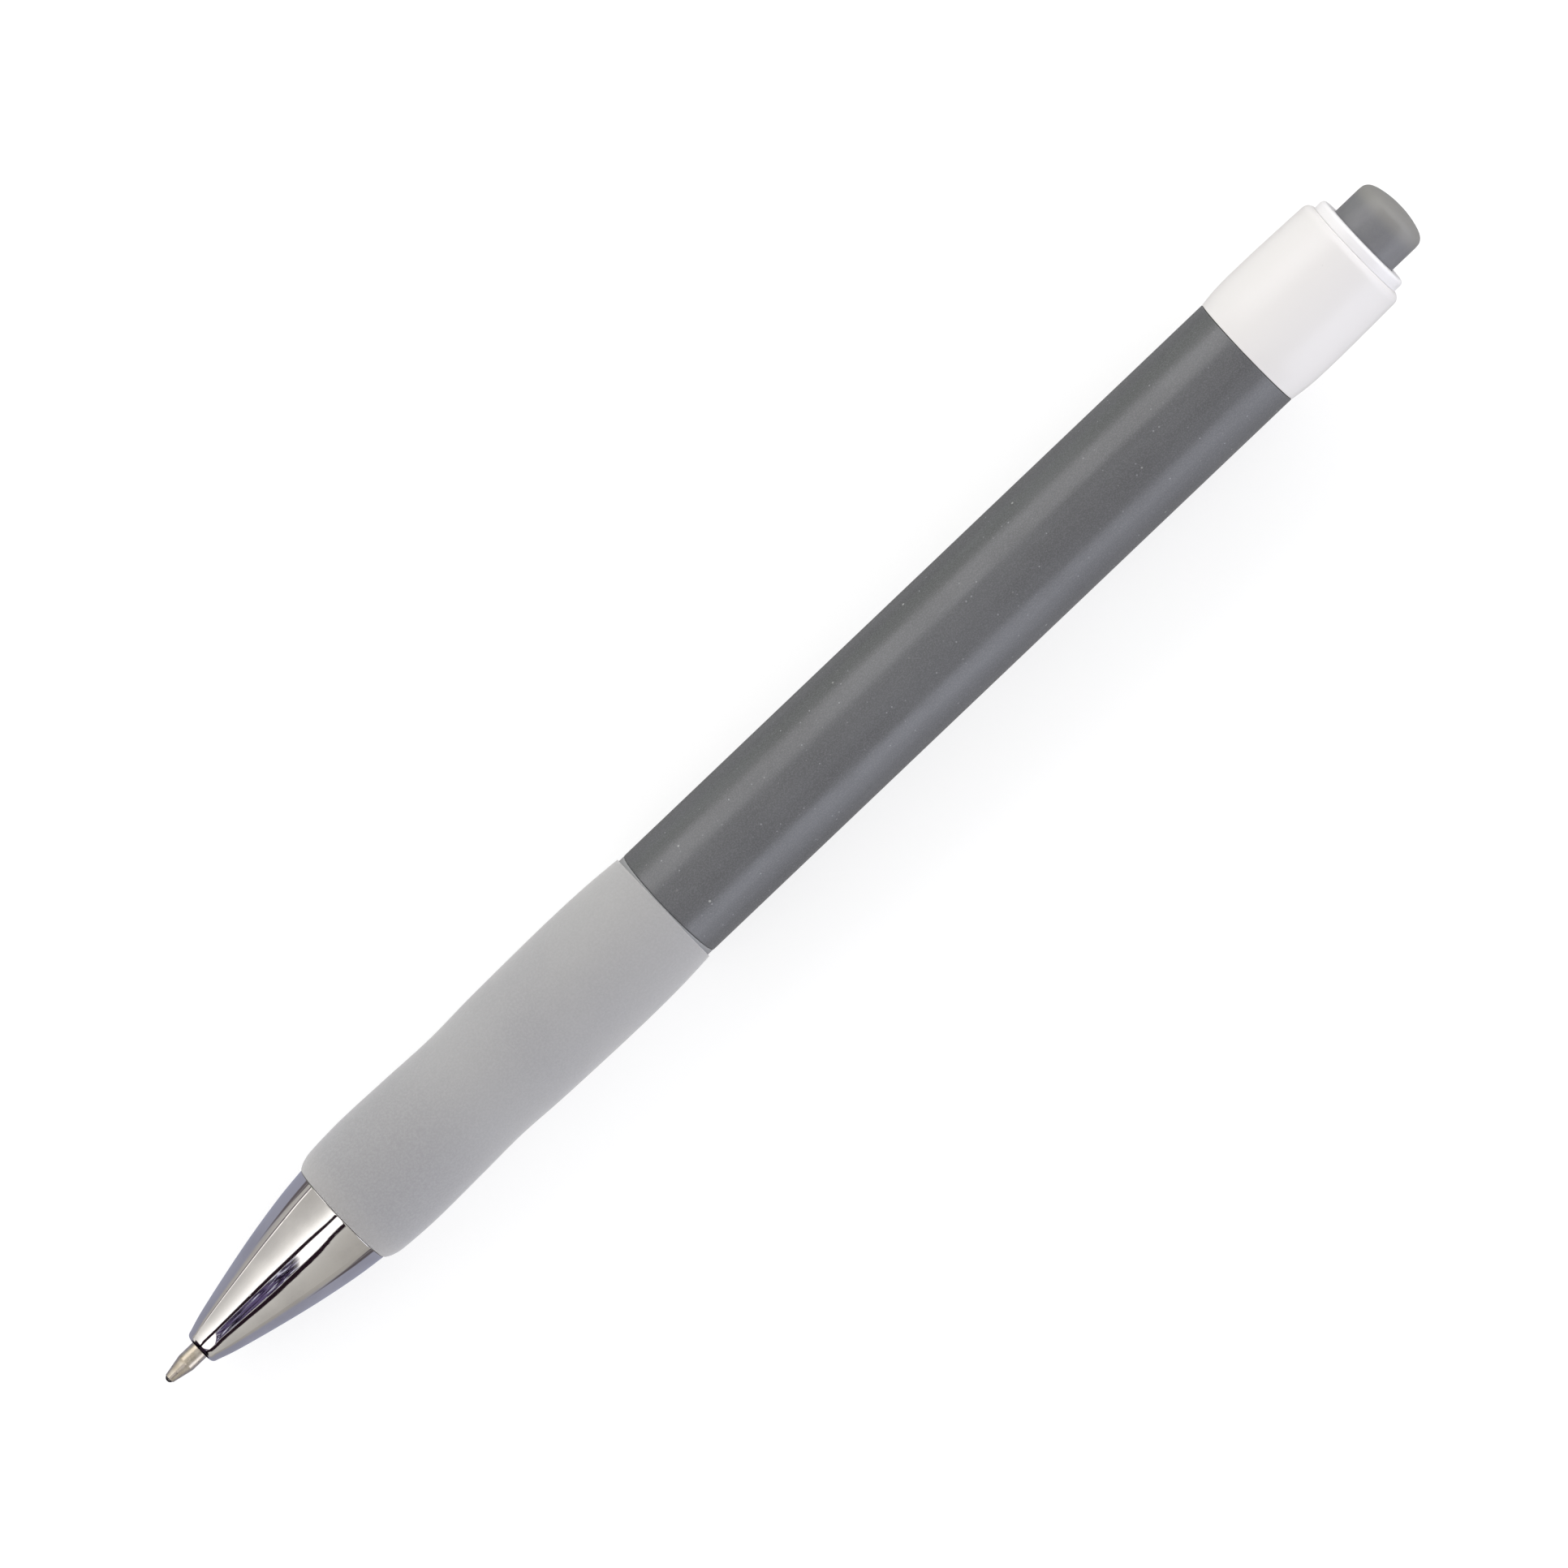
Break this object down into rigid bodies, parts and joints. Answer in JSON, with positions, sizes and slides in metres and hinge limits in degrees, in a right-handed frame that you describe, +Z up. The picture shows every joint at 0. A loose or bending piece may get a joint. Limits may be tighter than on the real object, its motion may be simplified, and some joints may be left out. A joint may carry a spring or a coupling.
{
  "type": "retractable ballpoint pen",
  "caption": "Click-action ballpoint pen: chromed nose cone, soft sleeve grip, straight grey barrel, white clip collar with clip, and a translucent push button.",
  "frame": {"origin": "on the table, under the middle of the pen's box as it lies on its grip and its clip", "axes": "+X along the pen from the writing point to the push button, +Y across it, +Z up; the pen's own axis rises 2.5 degrees towards the push button, because the clip props that end up"},
  "size_m": [0.1428, 0.0118, 0.0162],
  "materials": {
    "barrel": "glossy grey moulded plastic with a fine metallic fleck",
    "smoke": "translucent smoke-grey moulded plastic",
    "grip": "matte, slightly frosted soft rubber",
    "white": "glossy white moulded plastic",
    "nylon": "natural white moulded acetal",
    "dark_nylon": "dark grey moulded acetal",
    "chrome": "bright chrome plating",
    "steel": "drawn spring steel and polished carbide",
    "tip_metal": "turned nickel silver",
    "tube": "clear polypropylene tube",
    "ink": "black ink paste"
  },
  "bodies": {
    "casing": {"upper_barrel": "barrel", "lower_barrel": "smoke", "grip_sleeve": "grip", "clip_collar": "white", "mechanism_housing": "white"},
    "clip": {"clip_arm": "white"},
    "button": {"push_button": "smoke", "thrust_cam": "dark_nylon"},
    "refill": {"refill_tube": "tube", "ink_column": "ink", "tip_holder": "tube", "writing_tip": "tip_metal"},
    "rotor": {"rotor": "nylon"},
    "ball": {"ball": "steel"},
    "spring": {"return_spring": "steel"},
    "nose": {"nose_cone": "chrome"}
  },
  "joints": [
    {"name": "button_press", "type": "slide", "parent": "casing", "child": "button", "axis": [-0.999, 0, -0.0436], "range_m": [-0.0055, 0.0012], "stiffness_N_per_m": 200, "deforming": ["return_spring"]},
    {"name": "refill_slide", "type": "slide", "parent": "casing", "child": "refill", "axis": [-0.999, 0, -0.0436], "range_m": [-0.0055, 0.0012], "deforming": ["return_spring"]},
    {"name": "rotor_index", "type": "hinge", "parent": "refill", "child": "rotor", "pos_m": [0.05245, 0, 0.01009], "axis": [0.999, 0, 0.0436], "range_deg": [0, 45]},
    {"name": "ball_roll", "type": "hinge", "parent": "refill", "child": "ball", "pos_m": [-0.07103, 0, 0.0047], "axis": [0, 1, 0], "continuous": true},
    {"name": "nose_advance", "type": "slide", "parent": "casing", "child": "spring", "axis": [-0.999, 0, -0.0436], "range_m": [0, 0.005]},
    {"name": "nose_unscrew", "type": "hinge", "parent": "spring", "child": "nose", "pos_m": [-0.05944, 0, 0.00521], "axis": [-0.999, 0, -0.0436], "range_deg": [0, 1800]},
    {"name": "clip_flex", "type": "hinge", "parent": "casing", "child": "clip", "pos_m": [0.05543, 0, 0.00151], "axis": [0, -1, 0], "range_deg": [0, 6], "stiffness_Nm_per_rad": 1}
  ],
  "couplings": [
    {"joint": "refill_slide", "follows": "button_press", "ratio": 1},
    {"joint": "nose_unscrew", "follows": "nose_advance", "rad_per_m": 6283.2}
  ]
}
